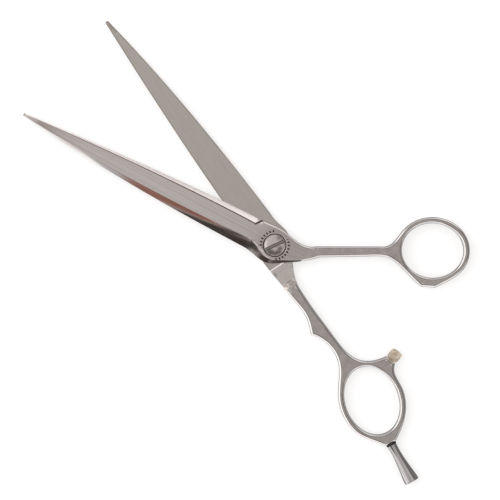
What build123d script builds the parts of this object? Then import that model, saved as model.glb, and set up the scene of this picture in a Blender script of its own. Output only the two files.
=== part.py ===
from build123d import *

import math
import os

# Hair cutting shears, 190 mm from blade tip to finger ring, lying open on a bench.
#
# The origin is on the pivot axis, in the plane that the shears lie on. +Z runs up the pivot axis and
# out of the slotted screw head. +Y points at the tip of the still blade, the lower half, which
# carries the finger ring, the bumper and the finger rest. The moving blade, the upper half, carries
# the thumb ring.
#
# Both halves are drawn in one half frame and placed at the end. There the pivot axis is Z, the tip
# is near +Y, the cutting edge faces +X, the ride face that meets the other half is at z = 0, and the
# blade's outer face is above it. Everything is in millimetres and degrees.

# ---- the pair ----
OPEN_ANGLE = 24.8  # between the two blades as they lie
RIDE_Z = 3.0  # height of the plane where the blades slide on each other
RIDE_GAP = 0.02  # each ride face stays this far from that plane
OUTER_Z = 3.0  # outer face of hub, shank and ring, in the half frame
HANDLE_BOTTOM = -1.8  # inner face of shank and ring, in the half frame

# ---- blades: three values are the size at the tip, what is added by the heel, and its power ----
STILL_LENGTH = 104.8  # pivot axis to tip
MOVING_LENGTH = 106.0
HEEL_Y = 10.3  # where the cutting edge ends, ahead of the pivot
EDGE_HEEL = 5.95  # the cutting edge at the heel, from the centreline, which it meets at the tip
EDGE_SWEEP = 1.45
SPINE_TIP = 1.2
SPINE_ADDED = 4.75
SPINE_SWEEP = 2.3
BEVEL_WIDTH = (0.45, 1.95, 1.2)  # ground strip along the cutting edge
BEVEL_HEIGHT = (0.6, 2.0, 1.3)
SPINE_BEVEL_WIDTH = (0.3, 3.4, 1.2)  # slope down to the spine
SPINE_BEVEL_HEIGHT = (0.95, 2.05, 0.7)
SPINE_WALL = (0.5, 1.2, 1.0)
EDGE_LAND = 0.08  # thickness of the cutting edge itself
BLADE_STATIONS = 8
GRIND_END_Y = 0.5  # where the slope has run out on the hub
GRIND_END_SPINE = -7.4  # just outside the hub, so that the slope fades out there
GRIND_END_WIDTH = 0.8
GRIND_MARGIN = 1.5  # how far the ground-off stock stands past the outline

# ---- hub, neck and handle ----
EDGE_ROUNDING = 0.9  # along the outer faces and round the handle
NECK_RELIEF = 0.3  # the neck lies this much below the ride face
NECK_START = 7.0  # distance from the pivot to the relief
SHOULDER_START = 14.0  # distance from the pivot to the ramp up to full thickness
SHOULDER_END = 16.4
SHOULDER_TOP = 1.0  # the ramp's stock reaches up to here, inside the half
INNER_STOCK_TOP = 1.5  # and the handle's inner stock up to here
RING_WALL = 2.3  # narrowest width of a ring, in plan
THUMB_HOLE = {"centre": (25.95, -53.1), "major": 11.55, "minor": 10.2, "tilt": 25.0}
FINGER_HOLE = {"centre": (6.2, -68.3), "major": 13.1, "minor": 9.95, "tilt": 15.5}
STILL_SHANK_ANGLE = -86.0  # from +X, in the half frame
MOVING_SHANK_ANGLE = -62.4

# ---- pivot hardware ----
POCKET_RADIUS = 4.45
POCKET_DEPTH = 1.7
FLANGE_RADIUS = 4.2
FLANGE_THICKNESS = 0.3
BUSHING_RADIUS = 3.1
SHOULDER_RADIUS = 2.5
RUNNING_CLEARANCE = 0.03
FIT_CLEARANCE = 0.01  # round pieces that sit still in each other
SPRING_RADIUS = 4.1
SPRING_THICKNESS = 0.22
SPRING_RISE = 0.3
HEAD_RADIUS = 3.85
HEAD_RIM = 0.45
HEAD_CROWN = 0.85
SLOT_WIDTH = 1.2
SLOT_DEPTH = 0.8
SLOT_ANGLE = -12.3
THREAD_RADIUS = 2.0
NUT_RADIUS = 3.5
NUT_THICKNESS = 1.6
NUT_FLOOR = 0.5
SPANNER_RADIUS = 0.45
SPANNER_OFFSET = 2.3  # from the pivot axis
SPANNER_DEPTH = 0.35

# ---- bumper, on the finger ring's lug ----
BUMPER_FACE = (8.62, -60.45)  # centre of the lug's end
BUMPER_ANGLE = 11.0
BUMPER_Z = 2.6
BUMPER_RADIUS = 2.36
BUMPER_LENGTH = 4.3
BUMPER_WAIST = 2.24
BUMPER_ROUNDING = 1.1
LUG_HALF_WIDTH = 2.15
BUMPER_STUD_RADIUS = 0.9
BUMPER_STUD_DEPTH = 2.6  # into the lug, and into the bumper

# ---- finger rest, screwed to the finger ring's boss ----
REST_FACE = (-10.3, -85.36)  # centre of the boss's end
REST_ANGLE = 261.8
REST_Z = 2.88
BOSS_HALF_WIDTH = 2.05
WASHER_RADIUS = 1.95
WASHER_THICKNESS = 0.7
REST_LENGTH = 15.6
REST_COLLAR = 1.8
REST_NECK = 1.66  # narrowest, at a fifth of the length
REST_NECK_AT = 0.2
REST_MIDDLE = 2.06
REST_MIDDLE_AT = 0.55
REST_END = 2.84
REST_END_ROUNDING = 0.5
REST_STUD_RADIUS = 1.1
REST_STUD_DEPTH = 3.0  # into the boss, and into the rest
REST_HOLE_SPARE = 0.1  # the boss's hole is this much deeper than its stud

# ---- cutting tools ----
CUT_MARGIN = 1.0  # how far a cutter stands past what it cuts
RAMP_MARGIN = 0.1  # how far the ramp's stock stands past the handle's inner face
SHANK_REACH = 120.0  # further from the pivot than the end of either handle

# ---- worked out ----
BOTTOM = (Align.CENTER, Align.CENTER, Align.MIN)
FLANGE_TOP = RIDE_Z + OUTER_Z - POCKET_DEPTH + FLANGE_THICKNESS
HEAD_BOTTOM = FLANGE_TOP + SPRING_RISE + SPRING_THICKNESS


def spread(values, share):
    """A blade dimension, from its tip value, what is added by the heel, and its power."""
    tip, added, power = values
    return tip + added * share**power


def heel_share(y, length):
    """0 at the blade's tip and 1 at its heel."""
    return min(1.0, max(0.0, (length - y) / (length - HEEL_Y)))


def edge_x(y, length):
    """The cutting edge, from the blade's centreline."""
    return EDGE_HEEL * (1 - (1 - heel_share(y, length)) ** EDGE_SWEEP)


def spine_x(y, length):
    """The spine, from the blade's centreline, on the other side."""
    return -SPINE_TIP - SPINE_ADDED * (1 - (1 - heel_share(y, length)) ** SPINE_SWEEP)


def blade_section(y, length):
    """The blade's closed section across one station."""
    share = heel_share(y, length)
    edge, spine = edge_x(y, length), spine_x(y, length)
    corners = [
        (edge, y, RIDE_GAP),
        (edge, y, RIDE_GAP + EDGE_LAND),
        (edge - spread(BEVEL_WIDTH, share), y, spread(BEVEL_HEIGHT, share)),
        (spine + spread(SPINE_BEVEL_WIDTH, share), y, spread(SPINE_BEVEL_HEIGHT, share)),
        (spine, y, spread(SPINE_WALL, share)),
        (spine, y, RIDE_GAP),
    ]
    return make_face(Polyline(*corners, close=True))


def blade(length):
    """The blade from its heel to its tip, with the ground strip and the slope to the spine."""
    step = (length - HEEL_Y) / (BLADE_STATIONS - 1)
    return loft([blade_section(HEEL_Y + step * i, length) for i in range(BLADE_STATIONS)])


def ring_point(hole, angle):
    """A point on a ring's outer outline, by the angle from the end of the hole's long axis."""
    turn, tilt = math.radians(angle), math.radians(90 + hole["tilt"])
    along = (hole["major"] + RING_WALL) * math.cos(turn)
    across = (hole["minor"] + RING_WALL) * math.sin(turn)
    x, y = hole["centre"]
    return (
        x + along * math.cos(tilt) - across * math.sin(tilt),
        y + along * math.sin(tilt) + across * math.cos(tilt),
    )


def ring_points(hole, start, end, count):
    return [ring_point(hole, start + (end - start) * i / (count - 1)) for i in range(count)]


def end_corners(face, angle, half_width):
    """The two corners of a flat end on the still half, from its centre and facing direction."""
    turn = math.radians(angle + 90)
    x, y = -face[0], face[1]
    across, along = -half_width * math.cos(turn), half_width * math.sin(turn)
    return (x + across, y + along), (x - across, y - along)


def heel_corners(length):
    return (edge_x(HEEL_Y, length), HEEL_Y), (spine_x(HEEL_Y, length), HEEL_Y)


def moving_plan():
    """The hub, shank and thumb ring of the moving half, without the hole."""
    edge_heel, spine_heel = heel_corners(MOVING_LENGTH)
    shank_top, shank_end = (7.0, -14.0), (18.0, -34.9)
    lug_low, lug_high = (14.1, -60.4), (12.0, -55.7)
    inner_end, inner_top = (12.6, -32.7), (3.9, -16.9)
    hub_edge_side = Spline(edge_heel, (6.3, 5.5), (6.45, 0.0), (5.5, -5.0), (5.2, -9.8), shank_top)
    outer_side = Line(shank_top, shank_end)
    ring = ring_points(THUMB_HOLE, -36, -242, 8)
    around = Spline(shank_end, (20.4, -38.0), *ring, lug_low)
    lug = Line(lug_low, lug_high)
    flare = Spline(lug_high, (13.3, -50.5), (15.2, -44.5), (15.85, -40.3), (14.9, -36.9), inner_end)
    inner_side = Line(inner_end, inner_top)
    hub_spine_side = Spline(inner_top, (-0.5, -11.8), (-4.5, -5.5), (-7.25, 0.0), (-6.5, 6.0), spine_heel)
    front = Line(spine_heel, edge_heel)
    lines = [hub_edge_side, outer_side, around, lug, flare, inner_side, hub_spine_side, front]
    return make_face(lines)


def still_plan():
    """The hub, shank and finger ring of the still half, without the hole."""
    edge_heel, spine_heel = heel_corners(STILL_LENGTH)
    boss_a, boss_b = end_corners(REST_FACE, REST_ANGLE, BOSS_HALF_WIDTH)
    lug_high, lug_low = end_corners(BUMPER_FACE, BUMPER_ANGLE, LUG_HALF_WIDTH)
    spur, neck_end = (9.4, -34.9), (6.9, -16.0)
    shank_top = (2.2, -17.5)
    hub_edge_side = Spline(edge_heel, (6.2, 6.0), (7.2, -2.0), (7.1, -10.0), neck_end)
    spur_side = Spline(neck_end, (6.75, -22.0), (6.95, -28.6), (8.1, -32.0), spur)
    ring_far = ring_points(FINGER_HOLE, -62, -148, 5)
    far_side = Spline(spur, (7.5, -38.2), (6.5, -44.0), (8.0, -50.0), *ring_far, boss_b)
    ring_near = ring_points(FINGER_HOLE, 127, 88, 3)
    near_side = Spline(boss_a, (5.0, -84.0), *ring_near, (-6.9, -65.0), lug_low)
    inner = [lug_high, (-4.4, -57.2), (0.2, -54.0), (2.7, -48.2), (3.0, -40.0), (2.8, -26.0), shank_top]
    hub_spine_side = Spline(shank_top, (0.3, -12.3), (-3.5, -6.2), (-6.7, 0.8), (-6.1, 6.0), spine_heel)
    lines = [
        hub_edge_side,
        spur_side,
        far_side,
        Line(boss_b, boss_a),
        near_side,
        Line(lug_low, lug_high),
        Spline(*inner),
        hub_spine_side,
        Line(spine_heel, edge_heel),
    ]
    return make_face(lines)


def ground_section(y, spine, width, drop):
    """Section of the stock ground off above a slope, from the outer face down to the spine."""
    slope = drop / width
    outside = spine - GRIND_MARGIN
    corners = [
        (spine + width, y, OUTER_Z),
        (outside, y, OUTER_Z - drop - slope * GRIND_MARGIN),
        (outside, y, OUTER_Z + GRIND_MARGIN),
        (spine + width, y, OUTER_Z + GRIND_MARGIN),
    ]
    return make_face(Polyline(*corners, close=True))


def ground_off_hub(length):
    """The stock taken off the hub where the blade's slope to the spine runs out."""
    width = spread(SPINE_BEVEL_WIDTH, 1.0)
    drop = OUTER_Z - spread(SPINE_WALL, 1.0)
    heel = ground_section(HEEL_Y, spine_x(HEEL_Y, length), width, drop)
    end = ground_section(GRIND_END_Y, GRIND_END_SPINE, GRIND_END_WIDTH, GRIND_END_WIDTH)
    return loft([heel, end], ruled=True)


def along_shank(profile, angle):
    """A wide solid with a side profile of (distance from the pivot, height), along a shank."""
    plane = Plane(origin=(0, 0, 0), x_dir=(1, 0, 0), z_dir=(0, -1, 0))
    side = plane * make_face(Polyline(*profile, close=True))
    return Rot(0, 0, angle) * extrude(side, SHANK_REACH / 2, both=True)


def handle_rim(body, z):
    """The edges of a half's outer or inner face, apart from straight cuts across it."""
    rim = body.edges().filter_by_position(Axis.Z, z, z)
    front = rim.filter_by(Axis.X).filter_by_position(Axis.Y, HEEL_Y, HEEL_Y)
    return [edge for edge in rim if edge not in front]


def half(plan, hole, length, shank_angle):
    """One half of the shears: blade, hub, neck, shank and ring in one piece of steel."""
    at = Location((*hole["centre"], 0), (0, 0, 1), 90 + hole["tilt"])
    plan -= at * Ellipse(hole["major"], hole["minor"])
    outer = Pos(0, 0, RIDE_GAP) * extrude(plan, OUTER_Z - RIDE_GAP)
    outer = fillet(handle_rim(outer, OUTER_Z), EDGE_ROUNDING)
    relief_end = SHOULDER_START + CUT_MARGIN
    relief = [
        (NECK_START, -CUT_MARGIN),
        (NECK_START, NECK_RELIEF),
        (relief_end, NECK_RELIEF),
        (relief_end, -CUT_MARGIN),
    ]
    outer -= along_shank(relief, shank_angle)
    outer -= ground_off_hub(length)
    inner = Pos(0, 0, HANDLE_BOTTOM) * extrude(plan, INNER_STOCK_TOP - HANDLE_BOTTOM)
    inner = fillet(handle_rim(inner, HANDLE_BOTTOM), EDGE_ROUNDING)
    ramp_low = HANDLE_BOTTOM - RAMP_MARGIN
    ramp = [
        (SHOULDER_START, SHOULDER_TOP),
        (SHOULDER_START, NECK_RELIEF),
        (SHOULDER_END, ramp_low),
        (SHANK_REACH, ramp_low),
        (SHANK_REACH, SHOULDER_TOP),
    ]
    return outer + (inner & along_shank(ramp, shank_angle)) + blade(length)


def bored(body, recess_radius, recess_depth, bore_radius):
    """A half with a round recess in its outer face and a bore right through, on the pivot axis."""
    recess = Cylinder(recess_radius, recess_depth + CUT_MARGIN, align=BOTTOM)
    bore = Cylinder(bore_radius, OUTER_Z + 2 * CUT_MARGIN, align=BOTTOM)
    return body - Pos(0, 0, OUTER_Z - recess_depth) * recess - Pos(0, 0, -CUT_MARGIN) * bore


def drilled(body, face, angle, z, radius, depth):
    """A half with a blind hole in a flat end, in the whole object's frame."""
    hole = Cylinder(radius, depth + CUT_MARGIN, align=BOTTOM)
    return body - facing(face, angle, z) * Pos(0, 0, -depth) * hole


def facing(face, angle, z):
    """The place of a flat end, with its own Z pointing straight out of it."""
    turn = math.radians(angle)
    return Plane(origin=(*face, z), z_dir=(math.cos(turn), math.sin(turn), 0)).location


def ring_shape(outer, inner, height):
    return Cylinder(outer, height, align=BOTTOM) - Cylinder(inner, height, align=BOTTOM)


def moving_blade():
    """The upper half, with the screw's pocket and the bushing's bore."""
    body = half(moving_plan(), THUMB_HOLE, MOVING_LENGTH, MOVING_SHANK_ANGLE)
    body = bored(body, POCKET_RADIUS, POCKET_DEPTH, BUSHING_RADIUS + FIT_CLEARANCE)
    return Pos(0, 0, RIDE_Z) * Rot(0, 0, OPEN_ANGLE) * body


def still_blade():
    """The lower half, with the nut's recess, the screw's hole and the two studs' holes."""
    body = half(still_plan(), FINGER_HOLE, STILL_LENGTH, STILL_SHANK_ANGLE)
    body = bored(body, NUT_RADIUS + FIT_CLEARANCE, NUT_THICKNESS, THREAD_RADIUS + RUNNING_CLEARANCE)
    body = Pos(0, 0, RIDE_Z) * Rot(0, 180, 0) * body
    stud_hole = BUMPER_STUD_RADIUS + FIT_CLEARANCE
    body = drilled(body, BUMPER_FACE, BUMPER_ANGLE, BUMPER_Z, stud_hole, BUMPER_STUD_DEPTH)
    rest_hole = REST_STUD_RADIUS + RUNNING_CLEARANCE
    return drilled(body, REST_FACE, REST_ANGLE, REST_Z, rest_hole, REST_STUD_DEPTH + REST_HOLE_SPARE)


def pivot_bushing():
    """Flanged sleeve that lines the moving half's bore."""
    sleeve_height = OUTER_Z - POCKET_DEPTH - RIDE_GAP
    inner = SHOULDER_RADIUS + RUNNING_CLEARANCE
    sleeve = ring_shape(BUSHING_RADIUS, inner, sleeve_height)
    flange = ring_shape(FLANGE_RADIUS, inner, FLANGE_THICKNESS)
    return Pos(0, 0, RIDE_Z + RIDE_GAP) * (sleeve + Pos(0, 0, sleeve_height) * flange)


def turned(lines):
    """A solid of revolution about Z, from a closed profile of (radius, height)."""
    return Rot(90, 0, 0) * revolve(make_face(lines), Axis.Y)


def spring_washer():
    """Dished ring that keeps the two halves pressed together."""
    inner = SHOULDER_RADIUS + RUNNING_CLEARANCE
    slope = Polyline(
        (inner, SPRING_RISE),
        (inner, SPRING_RISE + SPRING_THICKNESS),
        (SPRING_RADIUS, SPRING_THICKNESS),
        (SPRING_RADIUS, 0),
        close=True,
    )
    return Pos(0, 0, FLANGE_TOP) * turned(slope)


def pivot_screw():
    """Slotted tension screw with a domed head, a shoulder and a threaded end."""
    rim_top = HEAD_BOTTOM + HEAD_RIM
    crown_top = rim_top + HEAD_CROWN
    shank = Polyline(
        (0, crown_top),
        (0, NUT_FLOOR),
        (THREAD_RADIUS, NUT_FLOOR),
        (THREAD_RADIUS, RIDE_Z),
        (SHOULDER_RADIUS, RIDE_Z),
        (SHOULDER_RADIUS, HEAD_BOTTOM),
        (HEAD_RADIUS, HEAD_BOTTOM),
        (HEAD_RADIUS, rim_top),
    )
    dome_radius = (HEAD_RADIUS**2 + HEAD_CROWN**2) / (2 * HEAD_CROWN)
    half_angle = math.degrees(math.asin(HEAD_RADIUS / dome_radius))
    dome = CenterArc((0, crown_top - dome_radius), dome_radius, 90 - half_angle, half_angle)
    screw = turned([shank, dome])
    slot = Box(2 * HEAD_RADIUS + CUT_MARGIN, SLOT_WIDTH, SLOT_DEPTH + CUT_MARGIN, align=BOTTOM)
    return screw - Pos(0, 0, crown_top - SLOT_DEPTH) * Rot(0, 0, SLOT_ANGLE) * slot


def pivot_nut():
    """Round nut, flush with the still half's outer face, with two spanner holes."""
    nut = Cylinder(NUT_RADIUS, NUT_THICKNESS, align=BOTTOM)
    nut -= Pos(0, 0, NUT_FLOOR) * Cylinder(THREAD_RADIUS + FIT_CLEARANCE, NUT_THICKNESS, align=BOTTOM)
    for side in (-1, 1):
        nut -= Pos(side * SPANNER_OFFSET, 0, 0) * Cylinder(SPANNER_RADIUS, 2 * SPANNER_DEPTH)
    return nut


def bumper():
    """Soft waisted barrel that the thumb ring's lug closes on."""
    flat = BUMPER_RADIUS - BUMPER_ROUNDING
    low, high = BUMPER_ROUNDING, BUMPER_LENGTH - BUMPER_ROUNDING
    outline = [
        Polyline((flat, BUMPER_LENGTH), (0, BUMPER_LENGTH), (0, 0), (flat, 0)),
        CenterArc((flat, low), BUMPER_ROUNDING, -90, 90),
        Spline((BUMPER_RADIUS, low), (BUMPER_WAIST, BUMPER_LENGTH / 2), (BUMPER_RADIUS, high)),
        CenterArc((flat, high), BUMPER_ROUNDING, 0, 90),
    ]
    body = turned(outline)
    body -= Cylinder(BUMPER_STUD_RADIUS + FIT_CLEARANCE, BUMPER_STUD_DEPTH, align=BOTTOM)
    return facing(BUMPER_FACE, BUMPER_ANGLE, BUMPER_Z) * body


def bumper_stud():
    """Smooth pin, from inside the lug to inside the bumper."""
    stud = Cylinder(BUMPER_STUD_RADIUS, 2 * BUMPER_STUD_DEPTH)
    return facing(BUMPER_FACE, BUMPER_ANGLE, BUMPER_Z) * stud


def finger_rest_washer():
    bore = REST_STUD_RADIUS + RUNNING_CLEARANCE
    washer = ring_shape(WASHER_RADIUS, bore, WASHER_THICKNESS)
    return facing(REST_FACE, REST_ANGLE, REST_Z) * washer


def finger_rest():
    """Flared tang that the little finger rests on, bored for its stud."""
    flat = REST_END - REST_END_ROUNDING
    side_end = REST_LENGTH - REST_END_ROUNDING
    outline = [
        Polyline((flat, REST_LENGTH), (0, REST_LENGTH), (0, 0), (REST_COLLAR, 0)),
        Spline(
            (REST_COLLAR, 0),
            (REST_NECK, REST_LENGTH * REST_NECK_AT),
            (REST_MIDDLE, REST_LENGTH * REST_MIDDLE_AT),
            (REST_END, side_end),
        ),
        CenterArc((flat, side_end), REST_END_ROUNDING, 0, 90),
    ]
    body = turned(outline)
    body -= Cylinder(REST_STUD_RADIUS + FIT_CLEARANCE, REST_STUD_DEPTH, align=BOTTOM)
    return facing(REST_FACE, REST_ANGLE, REST_Z) * Pos(0, 0, WASHER_THICKNESS) * body


def finger_rest_stud():
    """Threaded stud, from inside the boss to inside the rest."""
    length = REST_STUD_DEPTH + WASHER_THICKNESS + REST_STUD_DEPTH
    stud = Pos(0, 0, -REST_STUD_DEPTH) * Cylinder(REST_STUD_RADIUS, length, align=BOTTOM)
    return facing(REST_FACE, REST_ANGLE, REST_Z) * stud


NODES = {
    "still_blade": still_blade,
    "moving_blade": moving_blade,
    "pivot_screw": pivot_screw,
    "spring_washer": spring_washer,
    "pivot_bushing": pivot_bushing,
    "pivot_nut": pivot_nut,
    "bumper": bumper,
    "bumper_stud": bumper_stud,
    "finger_rest": finger_rest,
    "finger_rest_stud": finger_rest_stud,
    "finger_rest_washer": finger_rest_washer,
}

if __name__ == "__main__":
    os.makedirs("parts", exist_ok=True)
    for name, make in NODES.items():
        export_step(make(), f"parts/{name}.step")
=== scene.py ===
import math

import bmesh
import bpy
import numpy as np
from mathutils import Matrix, Vector, kdtree
from mathutils.geometry import delaunay_2d_cdt


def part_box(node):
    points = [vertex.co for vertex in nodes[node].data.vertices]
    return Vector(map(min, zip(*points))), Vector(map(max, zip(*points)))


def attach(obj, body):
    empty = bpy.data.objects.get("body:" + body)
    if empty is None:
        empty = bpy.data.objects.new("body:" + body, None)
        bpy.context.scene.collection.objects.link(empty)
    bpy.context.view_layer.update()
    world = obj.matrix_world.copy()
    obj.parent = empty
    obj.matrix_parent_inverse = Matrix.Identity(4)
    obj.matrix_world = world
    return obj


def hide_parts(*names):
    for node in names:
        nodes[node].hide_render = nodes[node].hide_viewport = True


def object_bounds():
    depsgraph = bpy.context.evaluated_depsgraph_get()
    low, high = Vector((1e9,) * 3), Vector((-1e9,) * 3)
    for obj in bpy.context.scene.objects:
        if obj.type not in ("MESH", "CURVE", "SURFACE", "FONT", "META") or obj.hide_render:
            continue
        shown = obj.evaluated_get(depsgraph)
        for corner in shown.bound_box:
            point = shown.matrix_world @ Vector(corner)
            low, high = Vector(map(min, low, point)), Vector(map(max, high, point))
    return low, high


# Hair cutting shears, lying open on a pale studio floor.  Metres, in the part's own frame.
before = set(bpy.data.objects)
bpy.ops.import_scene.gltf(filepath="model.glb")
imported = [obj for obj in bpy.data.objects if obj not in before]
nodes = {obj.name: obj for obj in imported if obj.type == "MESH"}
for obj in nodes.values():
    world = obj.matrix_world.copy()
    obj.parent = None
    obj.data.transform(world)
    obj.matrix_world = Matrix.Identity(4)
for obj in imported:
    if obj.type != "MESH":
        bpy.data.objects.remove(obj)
cad_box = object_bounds()

MM = 0.001
RIDE_Z = 3.0 * MM  # the plane between the two halves
OPEN_ANGLE = math.radians(24.8)  # from the still blade to the moving one


# ---------------------------------------------------------------- material helpers
def new_material(name):
    mat = bpy.data.materials.new(name)
    mat.use_nodes = True
    tree = mat.node_tree
    tree.nodes.clear()
    out = tree.nodes.new("ShaderNodeOutputMaterial")
    shader = tree.nodes.new("ShaderNodeBsdfPrincipled")
    tree.links.new(shader.outputs["BSDF"], out.inputs["Surface"])
    return mat, tree, shader


def placed(tree, scale=(1, 1, 1), turn=0.0):
    """Object coordinates turned about Z and stretched, for a texture that lies along a piece."""
    coord = tree.nodes.new("ShaderNodeTexCoord")
    mapping = tree.nodes.new("ShaderNodeMapping")
    mapping.vector_type = "TEXTURE"
    mapping.inputs["Rotation"].default_value = (0, 0, turn)
    mapping.inputs["Scale"].default_value = [1 / k for k in scale]
    tree.links.new(coord.outputs["Object"], mapping.inputs["Vector"])
    return mapping.outputs["Vector"]


def noise(tree, vector, scale, detail=4.0, roughness=0.55):
    node = tree.nodes.new("ShaderNodeTexNoise")
    node.inputs["Scale"].default_value = scale
    node.inputs["Detail"].default_value = detail
    node.inputs["Roughness"].default_value = roughness
    tree.links.new(vector, node.inputs["Vector"])
    return node.outputs["Fac"]


def ramp(tree, value, stops):
    node = tree.nodes.new("ShaderNodeValToRGB")
    elements = node.color_ramp.elements
    while len(elements) < len(stops):
        elements.new(0.5)
    for element, (place, colour) in zip(elements, stops):
        element.position = place
        element.color = (*colour, 1)
    tree.links.new(value, node.inputs["Fac"])
    return node.outputs["Color"]


def remap(tree, value, low, high, start=0.0, end=1.0):
    """A value that runs from start to end, made to run from low to high."""
    node = tree.nodes.new("ShaderNodeMapRange")
    node.inputs["From Min"].default_value = start
    node.inputs["From Max"].default_value = end
    node.inputs["To Min"].default_value = low
    node.inputs["To Max"].default_value = high
    tree.links.new(value, node.inputs["Value"])
    return node.outputs["Result"]


def math_node(tree, kind, one, two=None):
    node = tree.nodes.new("ShaderNodeMath")
    node.operation = kind
    for socket, value in zip(node.inputs, (one, two)):
        if isinstance(value, (int, float)):
            socket.default_value = value
        elif value is not None:
            tree.links.new(value, socket)
    return node.outputs["Value"]


def mixed(tree, factor, under, over):
    """One colour laid over another by a factor."""
    node = tree.nodes.new("ShaderNodeMix")
    node.data_type = "RGBA"
    tree.links.new(factor, node.inputs["Factor"])
    tree.links.new(under, node.inputs["A"])
    if isinstance(over, tuple):
        node.inputs["B"].default_value = (*over, 1)
    else:
        tree.links.new(over, node.inputs["B"])
    return node.outputs["Result"]


def bump(tree, shader, height, strength, distance):
    node = tree.nodes.new("ShaderNodeBump")
    node.inputs["Strength"].default_value = strength
    node.inputs["Distance"].default_value = distance
    tree.links.new(height, node.inputs["Height"])
    tree.links.new(node.outputs["Normal"], shader.inputs["Normal"])


BLOTCH_SCALE = 180.0
# the blotches that carry a painted dark reflection, and that reflection's colour
REFLECTION_BLOTCH_RANGE = (0.52, 0.66)
REFLECTION_BLOTCH_COLOUR = (0.12, 0.09, 0.08)


def steel(name, light, dark, rough, streak, turn=0.0, grain=0.02, depth=0.01 * MM, bumpiness=0.1, reflection_blotch=0.0):
    """Polished or ground steel: streaks of the grind along one direction, with their relief.

    Its roughness varies by the grain in wide blotches, and the strongest of them can carry a painted dark
    reflection.
    """
    mat, tree, shader = new_material(name)
    shader.inputs["Metallic"].default_value = 1.0
    lines = noise(tree, placed(tree, streak, turn), 1.0, 5.0, 0.6)
    colour = ramp(tree, lines, [(0.3, dark), (0.7, light)])
    blotch = noise(tree, placed(tree), BLOTCH_SCALE, 3.0)
    # a painted dark reflection in the strongest blotches
    if reflection_blotch:
        colour = mixed(tree, remap(tree, blotch, 0.0, reflection_blotch, *REFLECTION_BLOTCH_RANGE), colour, REFLECTION_BLOTCH_COLOUR)
    tree.links.new(colour, shader.inputs["Base Color"])
    tree.links.new(remap(tree, blotch, rough - grain, rough + grain), shader.inputs["Roughness"])
    bump(tree, shader, lines, bumpiness, depth)
    return mat


def repainted(name, plain):
    """A copy of a steel, its node tree, its shader's colour socket and what feeds that socket."""
    mat = plain.copy()
    mat.name = name
    shader = next(n for n in mat.node_tree.nodes if n.type == "BSDF_PRINCIPLED")
    socket = shader.inputs["Base Color"]
    return mat, mat.node_tree, socket, socket.links[0].from_socket


MARK_COUNT = 26  # in a full turn
MARK_SHARE = 0.42  # of the step from one mark to the next
MARK_TURN = math.radians(110)  # the middle of one arc, and the other is opposite
MARK_ARC = -0.45  # the cosine of twice the angle from there, at an arc's ends
MARK_RADIUS = 5.25 * MM
MARK_LENGTH = 0.85 * MM
MARK_COLOUR = (0.045, 0.035, 0.03)


def marked_steel(name, plain):
    """The hub's face with short radial index marks round the screw, in two arcs."""
    mat, tree, socket, base = repainted(name, plain)
    coord = tree.nodes.new("ShaderNodeTexCoord")
    split = tree.nodes.new("ShaderNodeSeparateXYZ")
    tree.links.new(coord.outputs["Object"], split.inputs["Vector"])

    angle = math_node(tree, "ARCTAN2", split.outputs["Y"], split.outputs["X"])
    around = math_node(tree, "FRACT", math_node(tree, "MULTIPLY", angle, MARK_COUNT / (2 * math.pi)))
    stroke = math_node(tree, "LESS_THAN", around, MARK_SHARE)
    turned = math_node(tree, "SUBTRACT", angle, MARK_TURN)
    spread = math_node(tree, "COSINE", math_node(tree, "MULTIPLY", turned, 2.0))
    arc = math_node(tree, "GREATER_THAN", spread, MARK_ARC)
    squares = [math_node(tree, "POWER", split.outputs[axis], 2.0) for axis in "XY"]
    radius = math_node(tree, "SQRT", math_node(tree, "ADD", *squares))
    off = math_node(tree, "ABSOLUTE", math_node(tree, "SUBTRACT", radius, MARK_RADIUS))
    ring = math_node(tree, "LESS_THAN", off, MARK_LENGTH / 2)
    mask = math_node(tree, "MULTIPLY", math_node(tree, "MULTIPLY", stroke, arc), ring)
    tree.links.new(mixed(tree, mask, base, MARK_COLOUR), socket)
    return mat


SLOT_TURN = math.radians(-12.3)
SLOT_HALF = 0.605 * MM
# painted shade in the slot: darker than the head, darkest at its walls
SLOT_SHADE = [(0.25, (0.42, 0.40, 0.38)), (0.9, (0.05, 0.04, 0.035))]  # from its middle to its walls


def slotted_steel(name, plain):
    """The screw's metal, with painted shade in its slot that darkens toward the slot's walls."""
    mat, tree, socket, base = repainted(name, plain)
    split = tree.nodes.new("ShaderNodeSeparateXYZ")
    tree.links.new(placed(tree, turn=SLOT_TURN), split.inputs["Vector"])
    across = math_node(tree, "ABSOLUTE", split.outputs["Y"])
    shade_in_slot = ramp(tree, math_node(tree, "MULTIPLY", across, 1 / SLOT_HALF), SLOT_SHADE)
    in_slot = math_node(tree, "LESS_THAN", across, SLOT_HALF)
    # lay the painted shade over the screw's metal inside the slot
    tree.links.new(mixed(tree, in_slot, base, shade_in_slot), socket)
    return mat


MOULD_GRAIN = 0.06  # how much the roughness varies to each side
MOULD_BUMP, MOULD_DEPTH = 0.15, 0.02 * MM


def moulded(name, light, dark, rough, scale, through=0.0, ior=1.45):
    """Rubber or plastic with a fine grain, and partly clear if some light goes through."""
    mat, tree, shader = new_material(name)
    fine = noise(tree, placed(tree), scale, 5.0)
    tree.links.new(ramp(tree, fine, [(0.35, dark), (0.65, light)]), shader.inputs["Base Color"])
    tree.links.new(remap(tree, fine, rough - MOULD_GRAIN, rough + MOULD_GRAIN), shader.inputs["Roughness"])
    shader.inputs["Transmission Weight"].default_value = through
    shader.inputs["IOR"].default_value = ior
    bump(tree, shader, fine, MOULD_BUMP, MOULD_DEPTH)
    return mat


# ---------------------------------------------------------------- materials
MIRROR = {"streak": (400, 400, 400), "depth": 0.002 * MM, "bumpiness": 0.03}
REST_TURN = math.radians(-8.2)  # the finger rest's axis from -Y

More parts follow.
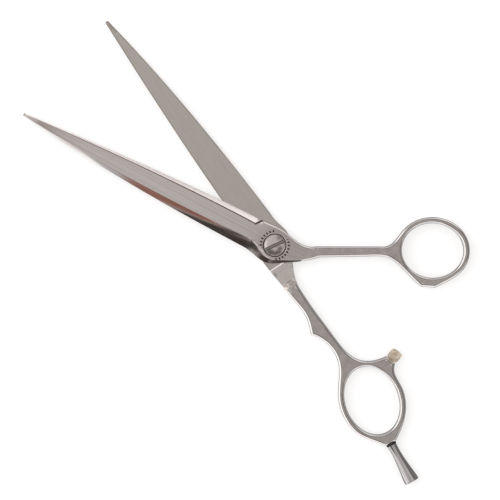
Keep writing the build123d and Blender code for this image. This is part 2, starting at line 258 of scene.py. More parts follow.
satin = steel("satin_ride_face", (0.70, 0.665, 0.625), (0.63, 0.595, 0.56), 0.34, (2600, 160, 160))
polish = steel("polished_steel", (0.88, 0.86, 0.85), (0.82, 0.80, 0.79), 0.07, **MIRROR)
# level tops of shanks and rings: a little rougher, and a darker base colour as a painted darker reflection
crest_steel = steel("polished_crest", (0.85, 0.82, 0.80), (0.70, 0.67, 0.66), 0.16, **MIRROR)
# a painted dark reflection line along the crest of the rounds
painted_line_steel = steel("painted_dark_line", (0.27, 0.245, 0.235), (0.18, 0.16, 0.15), 0.16, **MIRROR)
tang_steel = steel("tang_steel", (0.74, 0.73, 0.73), (0.34, 0.33, 0.33), 0.13, (1500, 18, 18), REST_TURN, 0.03)
screw_metal = steel("turned_steel", (0.74, 0.71, 0.68), (0.56, 0.53, 0.50), 0.24, (1800, 1800, 1800))
spring_metal = steel("spring_steel", (0.62, 0.59, 0.55), (0.45, 0.42, 0.38), 0.25, (1500, 1500, 1500))
# painted shade for the pocket round the screw and the notch's step, and a painted dark reflection for the line along
# the ground edge's top
dark_steel = steel("shaded_steel", (0.20, 0.13, 0.11), (0.10, 0.065, 0.055), 0.30, (900, 900, 900))

silicone = moulded("yellowed_silicone", (0.90, 0.82, 0.68), (0.50, 0.40, 0.30), 0.20, 650, 0.60, 1.41)
rubber = moulded("matt_black_rubber", (0.030, 0.028, 0.027), (0.014, 0.013, 0.013), 0.55, 1400)
# the bushing's nylon is made dark so that the gap round the screw shows as painted shade
nylon = moulded("nylon_dark_for_gap_shade", (0.040, 0.038, 0.036), (0.020, 0.019, 0.018), 0.45, 900)

slotted = slotted_steel("slotted_screw_steel", screw_metal)

FINISH = {
    "still_blade": polish, "moving_blade": polish, "pivot_screw": slotted, "pivot_nut": screw_metal,
    "spring_washer": spring_metal, "pivot_bushing": nylon, "bumper": silicone, "bumper_stud": screw_metal,
    "finger_rest": tang_steel, "finger_rest_stud": screw_metal, "finger_rest_washer": rubber,
}
for name, mat in FINISH.items():
    data = nodes[name].data
    data.materials.clear()
    data.materials.append(mat)

# ---------------------------------------------------------------- the two halves
# Each half is drawn in its own frame, in millimetres: the pivot is the origin, the tip is towards +Y, the
# cutting edge faces +X, the ride face is at height 0 and the outer face above it.
OUTER = 3.0  # height of the hub's and the handle's outer face
INNER = -1.8  # height of the other side of the shanks and rings
RIDE_GAP = 0.02
SLICE = 1.65  # height of the outline taken from the CAD, clear of the edge rounding and of the stud holes
HEEL_Y = 10.3  # where the blade begins
HUB_END = -13.0  # where the hub ends, and with it the slope beside it
FACE_END = -12.0  # nearer the rings than this the level parts are polished more finely than blade and hub
SPINE_SIDE_X = 3.0  # a hub's outline is on its spine side where x is less than this
MARKS_END = 8.5  # radius of the face that holds the marks
RING_AWAY = 20.0  # the finger hole's middle is farther than this from the pivot

# the blade, from its tip (s = 0) to its heel (s = 1): at the tip, growth and power
EDGE_X, EDGE_POWER = 5.95, 1.45
SPINE_TIP_X, SPINE_GROWTH, SPINE_POWER = -1.2, 4.75, 2.3
BEVEL_WIDTH = (0.45, 1.95, 1.2)
SLOPE_WIDTH = (0.3, 3.4, 1.2)
RIDGE_HEIGHT = (0.6, 2.0, 1.3)
SHOULDER_HEIGHT = (0.95, 2.05, 0.7)
FOOT_TIP, FOOT_GROWTH = 0.5, 1.2  # height of the slope's foot
HUB_FADE_Y = 3.0  # from here to the heel the level hub turns into the blade's faces
LAND = 0.10  # height of the cutting edge
CREST, CREST_POWER = 0.46, 0.6  # the painted dark reflection line along the top of the ground edge
CROWN, HOLLOW = 0.07, 0.15  # the slope is crowned at the tip and hollow at the heel

# the slanted step where the ground edge ends
NOTCH_A, NOTCH_B = np.array((2.7, 10.9)), np.array((6.3, 8.2))
NOTCH_ALONG = (NOTCH_B - NOTCH_A) / np.linalg.norm(NOTCH_B - NOTCH_A)
NOTCH_ACROSS = np.array((-NOTCH_ALONG[1], NOTCH_ALONG[0]))
NOTCH_HALF = 0.34
NOTCH_SIDE_X, NOTCH_REACH = 2.0, 0.6

# the neck's relief on the ride side, by distance from the pivot along the shank
RELIEF, RELIEF_END, SHOULDER, SHOULDER_END = 7.0, 7.4, 14.0, 16.4
RELIEF_HEIGHT = 0.3
RIDE_FLAT_Y = 9.3  # the ride face is flat from here to the tip
ROUND_START, ROUND_FULL = SHOULDER - 0.5, SHOULDER_END + 2.5  # the ride side's round edge grows in here

# edges: a round one on shanks and rings, a smaller one on the hub, and a slope on the hub's spine side
ROUND_WIDTH, ROUND_DROP = 0.86, 1.35
ROUND_TOP = math.radians(72)  # how far up the round goes, of a quarter turn
HUB_WIDTH, HUB_DROP = 0.62, 1.1
HUB_SLOPE_WIDTH, HUB_SLOPE_DROP = 1.5, 0.58
HEEL_SLOPE_WIDTH, HEEL_SLOPE_DROP = 3.7, 1.3
NARROW_Y, NARROW_POWER = -5.0, 1.5  # the slope narrows from its width at the heel to the hub's until here
HUB_SLOPE_LAST = 0.3  # the share of its width that is left at its end
BLEND = 9  # forms are averaged over this many points of an outline
LEVEL = 0.012  # a fall smaller than this is still the flat
ROWS = (0.04, 0.13, 0.28, 0.46, 0.64, 0.80, 1.0)  # rows of points up an edge, as shares of its width
CREST_LINE = 0.78  # from this share of a round's width up, its polish is darker: a painted dark reflection line
LINE_END = 0.96  # and on the ride side it is only as far as this
RIM = 0.45  # the ride face's ground rim

# the mesh
OUTLINE_STEP = 0.42
BLADE_STEPS, RIDGE_STEPS = 140, 110
RIDGE_END = 1.2  # from the tip
CORNER = 0.4  # radians; an outline that turns more than this has a corner there
BORE_SEGMENTS, POCKET_SEGMENTS = 72, 96
POCKET_CHAMFER = 0.12
POCKET_LINES = (-0.02, 0.0, 0.14)  # circles round the pocket's rim
SNAP = 0.01
ROW_SLACK = (0.04, 0.003)  # of a row's distance from its outline: a share and a length
NOTCH_STEPS = np.arange(0.2, 5.0, 0.2)
RELIEF_STEPS = np.arange(-9, 9.1, 0.25)
FILL_X, FILL_Y = np.arange(-20, 42, 0.8), np.arange(-90, 107, 0.7)
FILL_SHIFT = 0.4  # of every second row
CLEAR_OF_EDGE, CLEAR_OF_RIM, CLEAR_OF_ROWS = 0.25, 0.4, 0.32
POCKET_FILL = 1.0  # how far inside the pocket's rim the fill goes
THINNEST = 0.05
SHARP = math.radians(24)

ZONES = ["polish", "satin", "flats", "ground", "slope", "rim", "dark", "marks", "neck", "crest", "line", "step"]

# each half's turn in the part's frame, -1 if its outer face looks down, the tip's distance from the pivot, the
# shank's direction in degrees, the radii of the bore and of the pocket round it, and the height of its floor
SIDES = {
    "moving_blade": {
        "turn": OPEN_ANGLE, "flip": 1, "length": 106.0, "shank": -62.4, "bore": 3.11, "pocket": 4.45, "floor": 1.3,
    },
    "still_blade": {
        "turn": 0.0, "flip": -1, "length": 104.8, "shank": -86.0, "bore": 2.03, "pocket": 3.51, "floor": 1.4,
    },
}


def smooth(low, high, value):
    t = np.clip((value - low) / (high - low), 0, 1)
    return t * t * (3 - 2 * t)


def share(y, length):
    """0 at the blade's tip and 1 from its heel on."""
    return np.clip((length - y) / (length - HEEL_Y), 0, 1)


def grown(s, form):
    at_tip, growth, power = form
    return at_tip + growth * s**power


def edge_x(s):
    return EDGE_X * (1 - (1 - s) ** EDGE_POWER)


def spine_x(s):
    return SPINE_TIP_X - SPINE_GROWTH * (1 - (1 - s) ** SPINE_POWER)


def ridge_x(s):
    return edge_x(s) - grown(s, BEVEL_WIDTH)


def shoulder_x(s):
    return spine_x(s) + grown(s, SLOPE_WIDTH)


def outlines(node, side):
    """A CAD half's closed outlines at one height, in its own frame, longest first."""
    cut = bmesh.new()
    cut.from_mesh(nodes[node].data)
    bmesh.ops.remove_doubles(cut, verts=cut.verts, dist=1e-7)
    sliced = bmesh.ops.bisect_plane(
        cut, geom=cut.verts[:] + cut.edges[:] + cut.faces[:],
        plane_co=(0, 0, RIDE_Z + side["flip"] * SLICE * MM), plane_no=(0, 0, 1),
    )
    beside = {}
    for part in sliced["geom_cut"]:
        if isinstance(part, bmesh.types.BMEdge):
            one, two = part.verts
            beside.setdefault(one, []).append(two)
            beside.setdefault(two, []).append(one)
    loops, seen = [], set()
    cos, sin = math.cos(side["turn"]), math.sin(side["turn"])
    for start in beside:
        if start in seen:
            continue
        loop, here = [], start
        while here is not None:
            seen.add(here)
            x, y = here.co.x / MM, here.co.y / MM
            loop.append(((x * cos + y * sin) * side["flip"], -x * sin + y * cos))
            here = next((v for v in beside[here] if v not in seen), None)
        loops.append(np.array(loop))
    cut.free()
    return sorted(loops, key=len, reverse=True)


def resampled(points, closed=True):
    """The same line with its corners kept and even steps between them."""
    n = len(points)
    before, after = np.roll(points, 1, 0), np.roll(points, -1, 0)
    a, b = points - before, after - points
    turn = np.abs(np.arctan2(a[:, 0] * b[:, 1] - a[:, 1] * b[:, 0], (a * b).sum(1)))
    corners = [i for i in range(n) if turn[i] > CORNER] if closed else []
    if not closed:
        runs = [points]
    elif corners:
        runs = [
            np.take(points, range(i, j + 1 if j > i else j + n + 1), axis=0, mode="wrap")
            for i, j in zip(corners, corners[1:] + corners[:1])
        ]
    else:
        runs = [np.vstack([points, points[:1]])]
    out = []
    for run in runs:
        along = np.concatenate([[0], np.cumsum(np.linalg.norm(np.diff(run, axis=0), axis=1))])
        count = max(1, round(along[-1] / OUTLINE_STEP))
        even = np.linspace(0, along[-1], count + 1)[: -1 if closed else None]
        out.append(np.stack([np.interp(even, along, run[:, k]) for k in (0, 1)], 1))
    return np.vstack(out)


def whole_outline(loop, length):
    """The handle's outline from the CAD, joined to the blade's two edges."""
    low = loop[:, 1] < HEEL_Y - 0.1
    first = next(i for i in range(len(loop)) if low[i] and not low[i - 1])
    handle = np.roll(loop, -first, 0)
    handle = handle[: int(np.argmin(np.roll(low, -first)))]
    if handle[0][0] < 0:
        handle = handle[::-1]
    up = HEEL_Y + (length - HEEL_Y) * np.linspace(0, 1, BLADE_STEPS)
    spine = np.stack([spine_x(share(up, length)), up], 1)
    edge = np.stack([edge_x(share(up, length)), up], 1)[::-1]
    return np.vstack([resampled(handle, closed=False), spine, edge])


def top_plane(x, y, length):
    """The outer face without its edges: level on the hub and handle, sloping gently on the blade."""
    s = share(y, length)
    ridge, shoulder = ridge_x(s), shoulder_x(s)
    at_ridge, at_shoulder = grown(s, RIDGE_HEIGHT), grown(s, SHOULDER_HEIGHT)
    blade = at_ridge + (at_shoulder - at_ridge) * (ridge - x) / (ridge - shoulder)
    return np.minimum(OUTER, OUTER + smooth(HUB_FADE_Y, HEEL_Y, y) * (blade - OUTER))


def edge_form(points, length):
    """How the outer face falls to each point of an outline.

    Gives the fall's width, its drop, how straight it is, its crown, and if it is the ground edge.
    """
    x, y = points.T
    s = share(y, length)
    on_edge = x > (edge_x(s) + spine_x(s)) / 2
    blade = y > HEEL_Y - SNAP
    slope = blade & ~on_edge
    slope_width = grown(s, SLOPE_WIDTH)
    plane = top_plane(x, y, length)
    slope_drop = plane - FOOT_TIP - FOOT_GROWTH * s

    # the slope down to the spine narrows along the hub, to little at its end
    beside_hub = (x < SPINE_SIDE_X) & (y > HUB_END) & ~blade
    fade = np.where(beside_hub, smooth(NARROW_Y, HEEL_Y, y) ** NARROW_POWER, 0)
    taper = HUB_SLOPE_LAST + (1 - HUB_SLOPE_LAST) * smooth(HUB_END, 0.0, y)
    hub_width = (HUB_SLOPE_WIDTH + (HEEL_SLOPE_WIDTH - HUB_SLOPE_WIDTH) * fade) * taper
    hub_drop = (HUB_SLOPE_DROP + (HEEL_SLOPE_DROP - HUB_SLOPE_DROP) * fade) * taper

    width = np.where(y < HUB_END, ROUND_WIDTH, HUB_WIDTH)
    width = np.where(slope, slope_width, np.where(beside_hub, hub_width, width))
    drop = np.where(y < HUB_END, ROUND_DROP, HUB_DROP)
    drop = np.where(slope, slope_drop, np.where(beside_hub, hub_drop, drop))
    straight = np.where(slope | beside_hub, 1.0, 0.0)
    for values in (width, drop, straight):
        wrapped = np.concatenate([values[-(BLEND // 2):], values, values[: BLEND // 2]])
        values[:] = np.convolve(wrapped, np.ones(BLEND) / BLEND, "valid")

    # the blade's own forms stay as they are
    ground = on_edge & (y > NOTCH_B[1])
    width = np.where(ground, grown(s, BEVEL_WIDTH), np.where(slope, slope_width, width))
    drop = np.where(ground, plane - LAND, np.where(slope, slope_drop, drop))
    straight = np.where(ground | slope, 1.0, straight)
    crown = np.where(slope, CROWN - HOLLOW * s, (CROWN - HOLLOW) * fade)
    return width, drop, straight, crown, ground


def ahead_of_notch(points):
    """1 on the blade's side of the slanted step where the ground edge ends, 0 on the hub's."""
    return np.clip(((points - NOTCH_A) @ NOTCH_ACROSS + NOTCH_HALF) / (2 * NOTCH_HALF), 0, 1)


def profile(u, straight=0.0, crown=0.0):
    """Height along an edge's fall, 0 at the outline and 1 at its top: part of a round, or a slope."""
    u = np.clip(u, 0, 1)
    cosine = 1 - u * (1 - math.cos(ROUND_TOP))
    rounded = np.sqrt(np.clip(1 - cosine**2, 0, 1)) / math.sin(ROUND_TOP)
    sloped = u + crown * np.sin(math.pi * u)
    return rounded + (sloped - rounded) * straight


def measure(points, line, forms=None):
    """Distance from each point to a closed line, and how far the outer face falls there.

    The fall is the largest that any part of the line makes.
    """
    one, two = line, np.roll(line, -1, 0)
    step = two - one
    size = np.maximum((step**2).sum(1), 1e-12)
    near, fall = np.empty(len(points)), np.zeros(len(points))
    batch = 1500
    for i in range(0, len(points), batch):
        p = points[i : i + batch]
        rel = p[:, None, :] - one[None]
        t = np.clip((rel * step[None]).sum(2) / size[None], 0, 1)
        gap = np.linalg.norm(rel - t[..., None] * step[None], axis=2)
        near[i : i + batch] = gap.min(1)
        if forms is not None:
            width, drop, straight, crown, ground = forms
            w = width + (np.roll(width, -1) - width) * t
            h = drop + (np.roll(drop, -1) - drop) * t
            k = np.maximum(straight, np.roll(straight, -1))[None]
            made = h * (1 - profile(gap / w, k, crown[None]))
            made = np.where(ground[None], made * ahead_of_notch(p)[:, None], made)
            fall[i : i + batch] = made.max(1)
    return near, fall


def nearest(points, lines):
    """Distance from each point to the nearest of some closed lines."""
    return np.min([measure(points, line)[0] for line in lines], axis=0)


def inside(points, line):
    """Whether each point is inside a closed line."""
    one, two = line, np.roll(line, -1, 0)
    out = np.empty(len(points), bool)
    batch = 3000
    for i in range(0, len(points), batch):
        x, y = points[i : i + batch, 0, None], points[i : i + batch, 1, None]
        spans = (one[None, :, 1] > y) != (two[None, :, 1] > y)
        rise = np.where(two[:, 1] == one[:, 1], 1e-12, two[:, 1] - one[:, 1])
        cross = one[None, :, 0] + (y - one[None, :, 1]) * (two[:, 0] - one[:, 0])[None] / rise[None]
        out[i : i + batch] = (spans & (x < cross)).sum(1) % 2 == 1
    return out


def inward(line):
    tangent = np.roll(line, -1, 0) - np.roll(line, 1, 0)
    tangent /= np.maximum(np.linalg.norm(tangent, axis=1), 1e-9)[:, None]
    return np.stack([-tangent[:, 1], tangent[:, 0]], 1)


def area_of(line):
    x, y = line.T
    return 0.5 * float((x * np.roll(y, -1) - np.roll(x, -1) * y).sum())


def circle(radius, count):
    turn = np.linspace(0, 2 * math.pi, count, endpoint=False)
    return np.stack([radius * np.cos(turn), radius * np.sin(turn)], 1)


def creases(side, down):
    """The lines inside the outline that edges of the mesh follow, each with whether it is closed."""
    lines = [(circle(side["pocket"] + more, POCKET_SEGMENTS), True) for more in POCKET_LINES]
    up = np.linspace(HEEL_Y, side["length"] - RIDGE_END, RIDGE_STEPS)
    s = share(up, side["length"])
    for x in (ridge_x(s), ridge_x(s) + CREST * s**CREST_POWER, shoulder_x(s)):
        lines.append((np.stack([x, up], 1), False))
    for shift in (-NOTCH_HALF, NOTCH_HALF):
        lines.append((NOTCH_A + NOTCH_ACROSS * shift + NOTCH_ALONG * NOTCH_STEPS[:, None], False))
    across = np.array((-down[1], down[0]))
    for reach in (RELIEF, RELIEF_END, SHOULDER, SHOULDER_END):
        lines.append((down * reach + across * RELIEF_STEPS[:, None], False))
    return lines


def edge_rows(line, width, outer, ring):
    """Rows of points up an outline's fall, without those that another part of the outline is nearer to.

    The blade has no last row, because its ridge and its shoulder are lines of their own.
    """
    normal = inward(line)
    share_off, least_off = ROW_SLACK
    before_blade = line[:, 1] < HEEL_Y - 0.2
    rows = []
    for row in ROWS:
        away = width * row
        moved = line + normal * away[:, None]
        fits = np.abs(nearest(moved, (outer, ring)) - away) < share_off * away + least_off
        rows.append(moved[fits & ((row < 1) | before_blade)])
    return rows


def tree_of(points):
    tree = kdtree.KDTree(len(points))
    for i, p in enumerate(points):
        tree.insert((p[0], p[1], 0), i)
    tree.balance()
    return tree


def even_fill(outer, ring, pocket, rows):
    """Evenly spaced points on the level parts, clear of the edges, the pocket's rim and the rows."""
    x, y = np.meshgrid(FILL_X, FILL_Y)
    x = x + FILL_SHIFT * (np.arange(x.shape[0])[:, None] % 2)
    fill = np.stack([x.ravel(), y.ravel()], 1)
    fill = fill[inside(fill, outer) & ~inside(fill, ring)]
    off_edges = nearest(fill, (outer, ring)) > ROUND_WIDTH + CLEAR_OF_EDGE
    radius = np.linalg.norm(fill, axis=1)
    off_rim = (np.abs(radius - pocket) > CLEAR_OF_RIM) & (radius > pocket - POCKET_FILL)
    tree = tree_of(rows)
    return np.array([p for p in fill[off_edges & off_rim] if tree.find((p[0], p[1], 0))[2] > CLEAR_OF_ROWS])


def triangulated(lines, loose, outer, holes):
    """Triangles over lines and loose points, inside the outline and outside its holes, all turning left."""
    places, edges = [], []
    for line, closed in lines:
        start, count = len(places), len(line)
        places += [Vector(p) for p in line]
        edges += [(start + i, start + (i + 1) % count) for i in range(count if closed else count - 1)]
    places += [Vector(p) for group in loose for p in group]
    found = delaunay_2d_cdt(places, edges, [], 0, 1e-5)
    flat, tris = np.array([tuple(v) for v in found[0]]), np.array(found[2])
    middle = flat[tris].mean(1)
    keep = inside(middle, outer)
    for hole in holes:
        keep &= ~inside(middle, hole)
    tris = tris[keep]
    used = np.unique(tris)
    renumber = -np.ones(len(flat), int)
    renumber[used] = np.arange(len(used))
    flat, tris = flat[used], renumber[tris]
    return flat, [tuple(int(i) for i in (tri if area_of(flat[tri]) > 0 else tri[::-1])) for tri in tris]


def surfaces(flat, side, gap, fall, down):
    """Height of the outer face and of the ride side at each point."""
    x, y = flat.T
    pocket = side["pocket"]
    radius = np.linalg.norm(flat, axis=1)
    top = top_plane(x, y, side["length"]) - fall
    top = np.where(radius < pocket - SNAP, side["floor"], top)
    top = np.where(np.abs(radius - pocket) < SNAP, np.minimum(top, OUTER - POCKET_CHAMFER), top)
    reach = flat @ down
    under = np.interp(
        reach, [RELIEF, RELIEF_END, SHOULDER, SHOULDER_END], [RIDE_GAP, RELIEF_HEIGHT, RELIEF_HEIGHT, INNER]
    )
    under = np.where(y > RIDE_FLAT_Y, RIDE_GAP, under)
    handle = np.where(y < 0, smooth(ROUND_START, ROUND_FULL, reach), 0)
    rounded = ROUND_DROP * (1 - profile(gap / ROUND_WIDTH))
    under = under + handle * rounded
    return np.maximum(top, under + THINNEST), under


def top_zone(centre, level, gap, length, pocket):
    """The zone of a face on the outer side."""
    x, y = centre
    ahead = float(ahead_of_notch(centre[None])[0])
    radius = math.hypot(x, y)
    # the pocket round the screw gets painted shade
    if radius < pocket + SNAP:
        return "dark"
    # the slanted step where the ground edge ends gets painted shade
    if x > NOTCH_SIDE_X and y > NOTCH_B[1] - NOTCH_REACH and 0.0 < ahead < 1.0 and not level:
        return "dark"
    s = share(y, length)
    ridge = ridge_x(s)
    # the dark line along the ground edge's top is a painted dark reflection
    if y > NOTCH_B[1] and ahead >= 1.0 and x > ridge:
        return "dark" if x < ridge + CREST * s**CREST_POWER else "ground"
    if level:
        if y > FACE_END:
            return "marks" if radius < MARKS_END else "flats"
        # level tops of the handle, whose darker base is a painted darker reflection
        return "crest"
    if y > HUB_END and x < SPINE_SIDE_X:
        return "slope"
    # near a round's top, a painted dark reflection line
    return "line" if y < FACE_END and gap > CREST_LINE * ROUND_WIDTH else "polish"


def under_zone(reach, gap):
    """The zone of a face on the ride side."""
    if reach < RELIEF:
        return "rim" if gap < RIM else "satin"
    if RELIEF_END < reach < SHOULDER:
        return "neck"
    if SHOULDER <= reach < SHOULDER_END:
        return "step"
    # near a round's top on the ride side, a painted dark reflection line, then the darker level top
    if gap < CREST_LINE * ROUND_WIDTH or reach < SHOULDER_END:
        return "polish"
    return "line" if gap < LINE_END * ROUND_WIDTH else "crest"


def build_half(node):
    """One half as a closed mesh of its two sides and the wall between them, with a zone for each face."""
    side = SIDES[node]
    length, pocket = side["length"], side["pocket"]
    loops = outlines(node, side)
    outer = whole_outline(loops[0], length)
    if area_of(outer) < 0:
        outer = outer[::-1]
    ring = resampled(next(l for l in loops[1:] if np.linalg.norm(l.mean(0)) > RING_AWAY))
    bore = circle(side["bore"], BORE_SEGMENTS)
    ring, bore = (l if area_of(l) < 0 else l[::-1] for l in (ring, bore))
    shank = math.radians(side["shank"])
    down = np.array((math.cos(shank), math.sin(shank)))

    outer_form, ring_form = (edge_form(line, length) for line in (outer, ring))
    lines = [(outer, True), (ring, True), (bore, True)] + creases(side, down)
    loose = edge_rows(outer, outer_form[0], outer, ring) + edge_rows(ring, ring_form[0], outer, ring)
    loose.append(even_fill(outer, ring, pocket, np.vstack(loose)))
    flat, tris = triangulated(lines, loose, outer, (ring, bore))

    gap_a, fall_a = measure(flat, outer, outer_form)
    gap_b, fall_b = measure(flat, ring, ring_form)
    gap, fall = np.minimum(gap_a, gap_b), np.maximum(fall_a, fall_b)
    top, under = surfaces(flat, side, gap, fall, down)

    flip, turn = side["flip"], side["turn"]
    x, y = flat[:, 0] * flip, flat[:, 1]
    x, y = x * math.cos(turn) - y * math.sin(turn), x * math.sin(turn) + y * math.cos(turn)
    count = len(flat)
    verts = [(x[i] * MM, y[i] * MM, RIDE_Z + flip * z[i] * MM) for z in (top, under) for i in range(count)]
    directed = {edge for a, b, c in tris for edge in ((a, b), (b, c), (c, a))}
    faces, zones = [], []
    for a, b, c in tris:
        corners = [a, b, c]
        centre, near = flat[corners].mean(0), gap[corners].mean()
        faces.append((a, b, c))
        zones.append(top_zone(centre, (fall[corners] < LEVEL).all(), near, length, pocket))
        faces.append((c + count, b + count, a + count))
        zones.append(under_zone(float(centre @ down), near))
        for one, two in ((a, b), (b, c), (c, a)):
            if (two, one) not in directed:
                faces.append((two, one, one + count, two + count))
                zones.append("polish")
    mesh = bpy.data.meshes.new(node + "_ground")
    mesh.from_pydata(verts, [], faces)
    mesh.polygons.foreach_set("material_index", [ZONES.index(zone) for zone in zones])
    mesh.polygons.foreach_set("use_smooth", [True] * len(faces))
    mesh.update()
    forging = bpy.data.objects.new(node + "_forging", mesh)
    bpy.context.scene.collection.objects.link(forging)
    mesh.set_sharp_from_angle(angle=SHARP)
    return forging


for node, body in (("moving_blade", "moving_half"), ("still_blade", "still_half")):
    forging = build_half(node)
    turn = SIDES[node]["turn"]
    face = steel(node + "_face", (0.74, 0.70, 0.68), (0.57, 0.53, 0.515), 0.25, (1500, 9, 9), turn, 0.05)
    edge = steel(node + "_edge", (0.96, 0.92, 0.91), (0.88, 0.83, 0.81), 0.20, (60, 1400, 60), turn)
    slope = steel(node + "_slope", (0.90, 0.86, 0.84), (0.55, 0.50, 0.48), 0.13, (900, 12, 12), turn, 0.04)
    rim = steel(node + "_rim", (0.66, 0.61, 0.57), (0.56, 0.51, 0.47), 0.24, (1500, 60, 60), turn)
    # the neck carries a painted dark reflection in wide blotches
    neck = steel(
        node + "_neck", (0.94, 0.90, 0.87), (0.82, 0.78, 0.74), 0.24, (120, 500, 60), turn, 0.05, reflection_blotch=0.7
    )
    # the shoulder's wide light and dark streaks are painted highlights and painted dark reflections
    shoulder = steel(node + "_shoulder", (0.98, 0.92, 0.88), (0.20, 0.14, 0.11), 0.20, (380, 300, 300), turn, 0.05)
    marks = marked_steel(node + "_marks", face) if node == "moving_blade" else face
    in_zone = {
        "polish": polish, "satin": satin, "flats": face, "ground": edge, "slope": slope, "rim": rim,
        "dark": dark_steel, "marks": marks, "neck": neck, "crest": crest_steel, "line": painted_line_steel, "step": shoulder,
    }
    for zone in ZONES:
        forging.data.materials.append(in_zone[zone])
    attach(forging, body)
    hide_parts(node)


# ---------------------------------------------------------------- the bumper, a soft barrel with well rounded ends
BUMPER_ANGLE = math.radians(11)
BUMPER_RADIUS, BUMPER_LENGTH = 2.36, 4.3
CORE_RADIUS, CORE_DEPTH = 0.91, 2.6
BARREL_POWER = 0.5  # 1 is an ellipsoid and 0 a plain cylinder
WAIST, WAIST_POWER = 0.035, 8
AROUND, ALONG = 64, 40
FOOT_SHARP = math.radians(60)


def barrel_profile():
    """Height and radius from the foot of the core, over the barrel, to the top of the core."""
    start = -math.acos((CORE_RADIUS / BUMPER_RADIUS) ** (1 / BARREL_POWER))
    out = []
    for i in range(ALONG + 1):
        turn = start + (math.pi / 2 - start) * i / ALONG
        rise = math.copysign(abs(math.sin(turn)) ** BARREL_POWER, turn)
        radius = BUMPER_RADIUS * max(0.0, math.cos(turn)) ** BARREL_POWER
        waist = 1 - WAIST * math.cos(turn) ** WAIST_POWER
        out.append((BUMPER_LENGTH / 2 * (1 + rise), radius * waist))
    return [(CORE_DEPTH, CORE_RADIUS)] + out


def build_barrel():
    """The barrel with the hollow for its stud, as rings joined from the hollow's end to the barrel's top."""
    mesh = bmesh.new()
    centre = sum((Vector(c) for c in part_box("bumper")), Vector()) / 2
    axis = Vector((math.cos(BUMPER_ANGLE), math.sin(BUMPER_ANGLE), 0))
    side = Vector((-axis.y, axis.x, 0))
    turns = [2 * math.pi * i / AROUND for i in range(AROUND)]
    spokes = [side * math.cos(t) + Vector((0, 0, math.sin(t))) for t in turns]
    rings = []
    for height, radius in barrel_profile():
        foot = centre + axis * (height - BUMPER_LENGTH / 2) * MM
        if radius < 1e-6:
            rings.append([mesh.verts.new(foot)])
        else:
            rings.append([mesh.verts.new(foot + spoke * radius * MM) for spoke in spokes])
    rings.insert(0, [mesh.verts.new(centre + axis * (CORE_DEPTH - BUMPER_LENGTH / 2) * MM)])
    for low, high in zip(rings, rings[1:]):
        for i in range(AROUND):
            j = (i + 1) % AROUND
            corners = [low[i % len(low)], low[j % len(low)], high[j % len(high)], high[i % len(high)]]
            mesh.faces.new(list(dict.fromkeys(corners)))
    bmesh.ops.recalc_face_normals(mesh, faces=mesh.faces)
    data = bpy.data.meshes.new("bumper_barrel")
    mesh.to_mesh(data)
    mesh.free()
    data.polygons.foreach_set("use_smooth", [True] * len(data.polygons))
    data.set_sharp_from_angle(angle=FOOT_SHARP)
    data.materials.append(silicone)
    piece = bpy.data.objects.new("bumper_barrel", data)
    bpy.context.scene.collection.objects.link(piece)
    return piece


barrel = build_barrel()
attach(barrel, "still_half")
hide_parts("bumper")


# ---------------------------------------------------------------- studio
RIGHT = Vector((0.7958, -0.6056, 0))
UP = Vector((0.6056, 0.7958, 0))

# colours from straight down (0) to straight up (1)
TENT = [
    (0.00, (0.30, 0.29, 0.29)), (0.30, (0.34, 0.33, 0.33)), (0.44, (0.62, 0.61, 0.60)),
    (0.55, (0.62, 0.60, 0.60)), (0.68, (0.64, 0.62, 0.61)), (0.87, (0.68, 0.655, 0.64)),
]

# which way each panel leans, its tilt from overhead, its inner and outer angles, and its colour
PANELS = [
    (-1.00, 0.05, 84, 38, 50, (1.25, 1.23, 1.22)),  # large white panel at the left
    (0.92, 0.40, 82, 38, 48, (0.27, 0.255, 0.25)),  # grey wall at the right
    (0.47, 0.88, 90, 16, 26, (1.00, 0.97, 0.96)),  # white card above, and two below
    (0.35, -0.94, 88, 24, 38, (1.00, 0.98, 0.97)),
    (-0.47, -0.88, 105, 28, 38, (1.15, 1.13, 1.13)),
    (0.47, 0.88, 40, 4, 12, (0.20, 0.15, 0.14)),  # grey, brown and dark flags
    (-0.46, -0.89, 73, 7, 15, (0.50, 0.50, 0.52)),
    (-0.44, -0.90, 58, 8, 14, (0.30, 0.14, 0.105)),
    (0.85, -0.50, 30, 7, 15, (0.15, 0.135, 0.128)),
    (0.50, -0.87, 38, 7, 13, (0.07, 0.06, 0.055)),
    (0.05, -1.00, 38, 7, 13, (0.06, 0.05, 0.045)),
    (-0.47, -0.88, 35, 8, 14, (0.045, 0.036, 0.033)),
    (-0.70, -0.71, 41, 6, 11, (0.05, 0.045, 0.04)),
    (-0.86, 0.51, 8, 2, 6, (0.19, 0.18, 0.175)),  # darkens the faces toward the tips
    (0.80, -0.60, 6, 6, 10, (0.35, 0.325, 0.315)),  # the dark round of the lens
]


def towards(right, up, tilt):
    """A direction in the studio, tilted from overhead by that many degrees toward the right and up."""
    level = (RIGHT * right + UP * up).normalized()
    angle = math.radians(tilt)
    return level * math.sin(angle) + Vector((0, 0, math.cos(angle)))


def panel(tree, coord, under, direction, inner, outer, colour):
    """A round panel or flag that covers what is under it, fading from its inner to its outer angle."""
    dot = tree.nodes.new("ShaderNodeVectorMath")
    dot.operation = "DOT_PRODUCT"
    dot.inputs[1].default_value = direction
    tree.links.new(coord, dot.inputs[0])
    start, end = (math.cos(math.radians(angle)) for angle in (outer, inner))
    cover = remap(tree, dot.outputs["Value"], 0.0, 1.0, start, end)
    cover.node.interpolation_type = "SMOOTHSTEP"
    return mixed(tree, cover, under, colour)


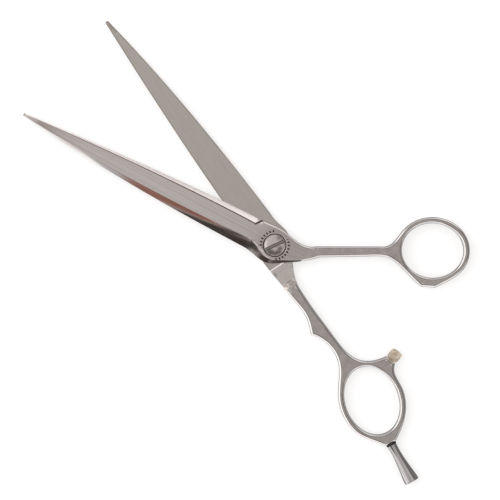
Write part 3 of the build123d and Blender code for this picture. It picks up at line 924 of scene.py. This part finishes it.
def studio():
    """A pale tent with round panels, cards and flags at its sides."""
    world = bpy.data.worlds.new("studio")
    bpy.context.scene.world = world
    world.use_nodes = True
    tree = world.node_tree
    tree.nodes.clear()
    out = tree.nodes.new("ShaderNodeOutputWorld")
    back = tree.nodes.new("ShaderNodeBackground")
    tree.links.new(back.outputs["Background"], out.inputs["Surface"])
    coord = tree.nodes.new("ShaderNodeTexCoord").outputs["Generated"]
    split = tree.nodes.new("ShaderNodeSeparateXYZ")
    tree.links.new(coord, split.inputs["Vector"])
    tent = ramp(tree, remap(tree, split.outputs["Z"], 0.0, 1.0, -1.0), TENT)
    for right, up, tilt, inner, outer, colour in PANELS:
        tent = panel(tree, coord, tent, towards(right, up, tilt), inner, outer, colour)
    tree.links.new(tent, back.inputs["Color"])
    back.inputs["Strength"].default_value = 1.0


def soft_light(name, place, size, power):
    """A square light aimed at the origin, which shiny surfaces don't mirror."""
    data = bpy.data.lights.new(name, "AREA")
    data.shape = "SQUARE"
    data.size = size
    data.energy = power
    lamp = bpy.data.objects.new(name, data)
    bpy.context.scene.collection.objects.link(lamp)
    lamp.location = place
    lamp.rotation_mode = "QUATERNION"
    lamp.rotation_quaternion = (-Vector(place)).to_track_quat("-Z", "Y")
    lamp.visible_glossy = False


studio()
soft_light("key", (-0.5, 0.6, 1.2), 1.4, 9.0)
soft_light("fill", (0.8, -0.5, 1.0), 1.4, 7.0)

# ---------------------------------------------------------------- floor
FLOOR_HALF = 3.0
FLOOR_GAP = 0.02 * MM
PAPER = [(0.3, (0.50, 0.50, 0.50)), (0.7, (0.52, 0.52, 0.52))]
PAPER_SCALE = 60.0
PAPER_GLOW = 0.55


def pale_floor():
    """A sheet of faintly mottled paper, lit enough to come out white."""
    mat, tree, shader = new_material("pale_floor")
    mottle = noise(tree, placed(tree), PAPER_SCALE)
    tree.links.new(ramp(tree, mottle, PAPER), shader.inputs["Base Color"])
    shader.inputs["Roughness"].default_value = 0.9
    shader.inputs["Specular IOR Level"].default_value = 0.1
    shader.inputs["Emission Color"].default_value = (1, 1, 1, 1)
    shader.inputs["Emission Strength"].default_value = PAPER_GLOW
    mesh = bpy.data.meshes.new("floor")
    grid = bmesh.new()
    bmesh.ops.create_grid(grid, x_segments=8, y_segments=8, size=FLOOR_HALF)
    grid.to_mesh(mesh)
    grid.free()
    mesh.materials.append(mat)
    piece = bpy.data.objects.new("floor", mesh)
    bpy.context.scene.collection.objects.link(piece)
    piece.location = (0, 0, cad_box[0].z - FLOOR_GAP)
    piece.visible_glossy = False
    return piece


floor = pale_floor()

# ---------------------------------------------------------------- camera: straight down, long lens
VIEW_WIDTH = 187.15 * MM
LENS, SENSOR = 200.0, 36.0
AIM = Vector((-8.42, 4.20, 3.0)) * MM


def overhead_camera():
    data = bpy.data.cameras.new("camera")
    data.lens, data.sensor_width = LENS, SENSOR
    data.clip_start, data.clip_end = 0.05, 20.0
    camera = bpy.data.objects.new("camera", data)
    bpy.context.scene.collection.objects.link(camera)
    camera.location = AIM + Vector((0, 0, VIEW_WIDTH * LENS / SENSOR))
    axes = Matrix((RIGHT.normalized(), UP.normalized(), Vector((0, 0, 1)))).transposed()
    camera.rotation_mode = "QUATERNION"
    camera.rotation_quaternion = axes.to_quaternion()
    bpy.context.scene.camera = camera


overhead_camera()
bpy.context.scene.view_settings.view_transform = "Standard"
